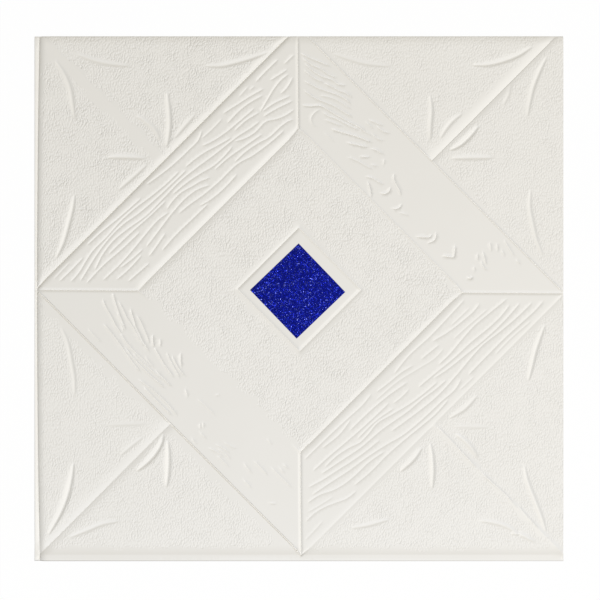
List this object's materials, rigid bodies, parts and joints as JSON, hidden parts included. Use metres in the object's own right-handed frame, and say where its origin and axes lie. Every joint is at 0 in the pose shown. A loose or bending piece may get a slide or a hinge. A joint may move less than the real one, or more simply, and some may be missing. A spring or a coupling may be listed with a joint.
{
  "type": "textured foam wall panel",
  "caption": "Square embossed foam wall panel with a mitred plank diamond, pleated corner cushions and a glitter film lozenge in the middle, for sticking flat on a wall or ceiling.",
  "frame": {"origin": "middle of the panel's outline, on its flat back", "axes": "+Z out of the embossed face, +X to the right and +Y to the top of the panel as it hangs"},
  "size_m": [0.7, 0.6946, 0.0066],
  "materials": {
    "foam": "embossed closed-cell foam with a fine leather grain, satin",
    "glitter": "deep blue glitter film"
  },
  "bodies": {
    "root": {"foam_panel": "foam", "glitter_film": "glitter"}
  },
  "joints": []
}
